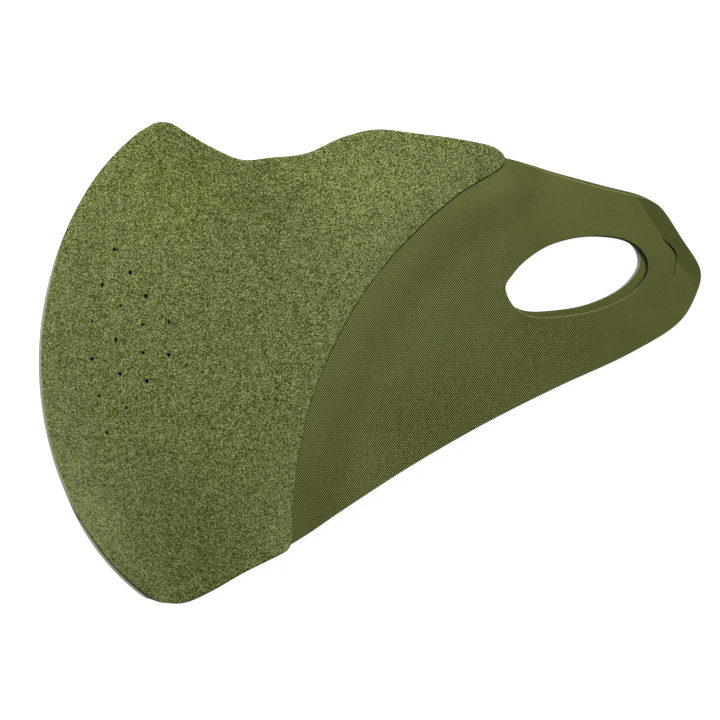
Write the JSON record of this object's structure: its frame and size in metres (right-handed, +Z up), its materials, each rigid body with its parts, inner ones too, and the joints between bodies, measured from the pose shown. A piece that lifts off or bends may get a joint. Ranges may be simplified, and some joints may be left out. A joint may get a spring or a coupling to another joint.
{
  "type": "neoprene face mask",
  "caption": "Reusable face mask folded flat along its front seam: felt-faced cup, smooth knit sides cut as ear loops, and small breathing vents.",
  "frame": {"origin": "middle of the folded mask's outline, on the surface that it lies on", "axes": "+X from the front seam to the ear loops, +Y from the chin to the nose, +Z up through the folded mask, from the wearer's right half to the left half"},
  "size_m": [0.2126, 0.1546, 0.0152],
  "materials": {
    "felt": "heathered olive felt, matt and slightly fuzzy",
    "knit": "fine smooth olive knit bonded to foam, matt",
    "seam": "dark olive bonded seam, matt"
  },
  "bodies": {
    "root": {"right_felt_shell": "felt", "right_knit_body": "knit", "centre_seam": "seam", "left_knit_body": "knit", "left_felt_shell": "felt"}
  },
  "joints": []
}
